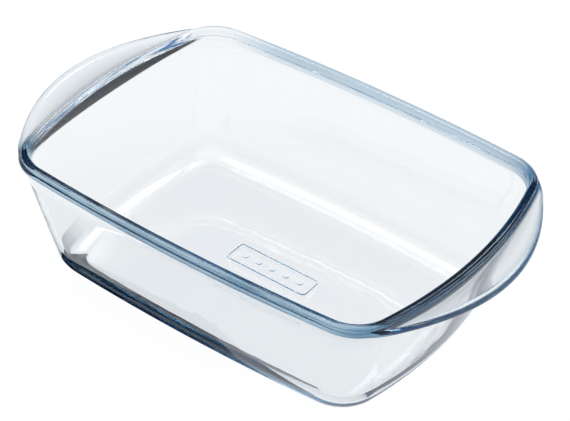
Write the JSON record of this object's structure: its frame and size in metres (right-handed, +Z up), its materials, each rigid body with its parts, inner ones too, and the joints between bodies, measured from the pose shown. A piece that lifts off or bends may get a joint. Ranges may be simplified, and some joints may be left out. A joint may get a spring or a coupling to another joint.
{
  "type": "glass oven dish",
  "caption": "Rectangular clear glass oven dish with bowed sides, leaning walls, a rounded rim and a tab handle at each short end.",
  "frame": {"origin": "middle of the flat base, on the table", "axes": "+X along the length, from handle to handle; +Y across the width; +Z up, out of the open top"},
  "size_m": [0.27, 0.1764, 0.0735],
  "materials": {
    "glass": "clear, fire-polished pressed glass with a faint blue cast in its thick edges"
  },
  "bodies": {
    "root": {"dish": "glass"}
  },
  "joints": []
}
